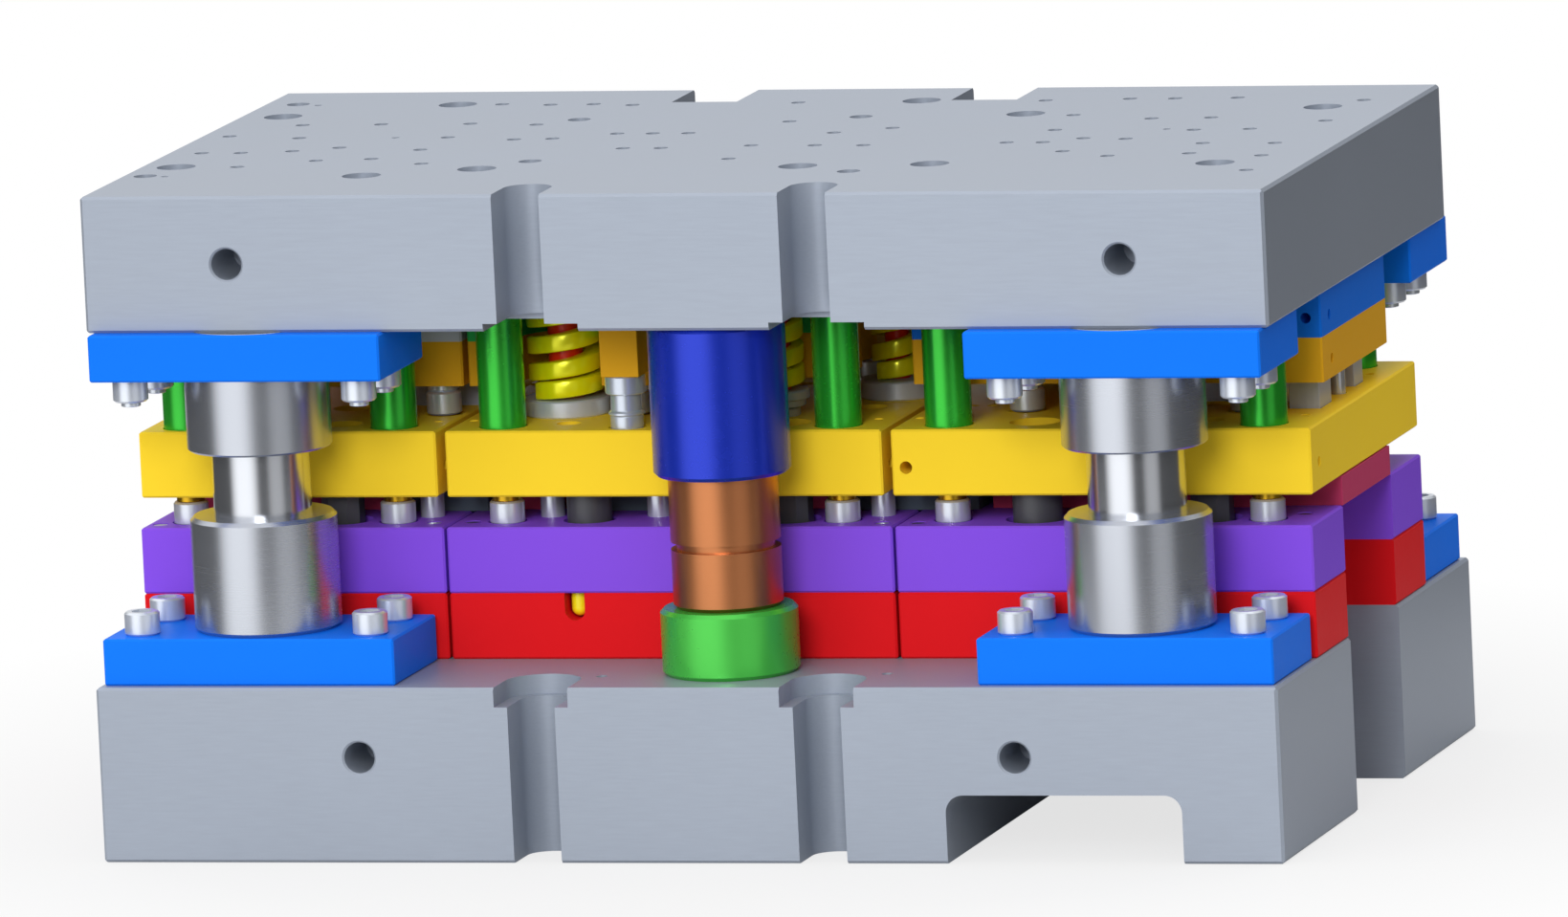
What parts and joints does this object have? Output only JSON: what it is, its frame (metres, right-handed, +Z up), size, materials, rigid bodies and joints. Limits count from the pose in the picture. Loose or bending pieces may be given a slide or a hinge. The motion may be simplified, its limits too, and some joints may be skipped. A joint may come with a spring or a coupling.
{
  "type": "progressive die",
  "caption": "Progressive stamping die on a four-post die set, with sprung stripper plates, hanging punches, lifters and gas cylinders, shown open at rest.",
  "frame": {"origin": "bottom centre of the lower shoe", "axes": "+X along the strip towards the chute end, +Y to the back, +Z up the closing axis"},
  "size_m": [0.62, 0.4, 0.34],
  "materials": {
    "shoe_steel": "ground",
    "backing_red": "satin",
    "die_purple": "satin",
    "retainer_blue": "satin",
    "post_steel": "hardened and ground",
    "collar_steel": "turned",
    "screw_steel": "satin",
    "pad_green": "satin",
    "dowel_steel": "ground",
    "locator_yellow": "gloss",
    "cushion_urethane": "matte",
    "lifter_magenta": "satin",
    "lifter_slate": "satin",
    "ram_copper": "copper-coloured, ground",
    "stripper_yellow": "satin",
    "punch_plate_ochre": "satin",
    "backing_grey": "satin",
    "backing_green": "satin",
    "backing_blue": "satin",
    "cylinder_blue": "gloss",
    "spool_green": "satin",
    "washer_gold": "satin",
    "punch_grey": "ground",
    "pin_chrome": "polished",
    "guide_dark": "blackened",
    "seat_steel": "turned",
    "spring_yellow": "gloss"
  },
  "bodies": {
    "lower_die": {"lower_shoe": "shoe_steel", "backing_plate_left": "backing_red", "backing_plate_middle": "backing_red", "backing_plate_right": "backing_red", "die_plate_left": "die_purple", "die_plate_middle": "die_purple", "die_plate_right": "die_purple", "post_retainer_front_left": "retainer_blue", "post_retainer_front_right": "retainer_blue", "post_retainer_rear_left": "retainer_blue", "post_retainer_rear_right": "retainer_blue", "guide_post_front_left": "post_steel", "guide_post_front_right": "post_steel", "guide_post_rear_left": "post_steel", "guide_post_rear_right": "post_steel", "post_collars": "collar_steel", "post_retainer_screws": "screw_steel", "ram_pads": "pad_green", "die_screws": "screw_steel", "die_dowels": "dowel_steel", "strip_locator": "locator_yellow", "lifter_cushions": "cushion_urethane"},
    "rams": {"rams": "ram_copper"},
    "upper_die": {"upper_shoe": "shoe_steel", "punch_backing_left": "backing_grey", "punch_backing_middle": "backing_green", "punch_backing_right": "backing_blue", "punch_plate_left": "punch_plate_ochre", "punch_plate_middle": "punch_plate_ochre", "punch_plate_right": "punch_plate_ochre", "front_punch_block": "punch_plate_ochre", "front_pilot": "pin_chrome", "bush_retainer_front_left": "retainer_blue", "bush_retainer_front_right": "retainer_blue", "bush_retainer_rear_left": "retainer_blue", "bush_retainer_rear_right": "retainer_blue", "guide_bushes": "collar_steel", "bush_retainer_screws": "screw_steel", "gas_cylinders": "cylinder_blue", "stripper_spools": "spool_green", "stripper_screws": "screw_steel", "spool_washers": "washer_gold", "punch_plate_screws": "screw_steel", "form_punches": "punch_grey", "pierce_punches": "pin_chrome"},
    "lifters": {"lifter_pins": "pin_chrome", "lifter_blocks": "lifter_magenta", "lifter_rails": "lifter_slate"},
    "stripper_left": {"stripper_plate_left": "stripper_yellow", "stripper_guides_left": "guide_dark", "spring_seats_left": "seat_steel", "springs_left": "spring_yellow"},
    "stripper_middle": {"stripper_plate_middle": "stripper_yellow", "stripper_guides_middle": "guide_dark", "spring_seats_middle": "seat_steel", "springs_middle": "spring_yellow"},
    "stripper_right": {"stripper_plate_right": "stripper_yellow", "stripper_guides_right": "guide_dark", "spring_seats_right": "seat_steel", "springs_right": "spring_yellow"}
  },
  "joints": [
    {"name": "die_opening", "type": "slide", "parent": "lower_die", "child": "rams", "axis": [0, 0, 1], "range_m": [0, 0.05]},
    {"name": "closing_stroke", "type": "slide", "parent": "rams", "child": "upper_die", "axis": [0, 0, 1], "range_m": [-0.029, 0], "stiffness_N_per_m": 20000, "springref_m": 0.16},
    {"name": "lifter_travel", "type": "slide", "parent": "lower_die", "child": "lifters", "axis": [0, 0, 1], "range_m": [-0.0145, 0], "deforming": ["lifter_cushions"]},
    {"name": "stripper_left_travel", "type": "slide", "parent": "upper_die", "child": "stripper_left", "axis": [0, 0, 1], "range_m": [0, 0.0145], "deforming": ["springs_left"]},
    {"name": "stripper_middle_travel", "type": "slide", "parent": "upper_die", "child": "stripper_middle", "axis": [0, 0, 1], "range_m": [0, 0.0145], "deforming": ["springs_middle"]},
    {"name": "stripper_right_travel", "type": "slide", "parent": "upper_die", "child": "stripper_right", "axis": [0, 0, 1], "range_m": [0, 0.0145], "deforming": ["springs_right"]}
  ],
  "couplings": [
    {"joint": "stripper_left_travel", "follows": "closing_stroke", "ratio": -0.5},
    {"joint": "stripper_middle_travel", "follows": "closing_stroke", "ratio": -0.5},
    {"joint": "stripper_right_travel", "follows": "closing_stroke", "ratio": -0.5},
    {"joint": "lifter_travel", "follows": "closing_stroke", "ratio": 0.5}
  ]
}
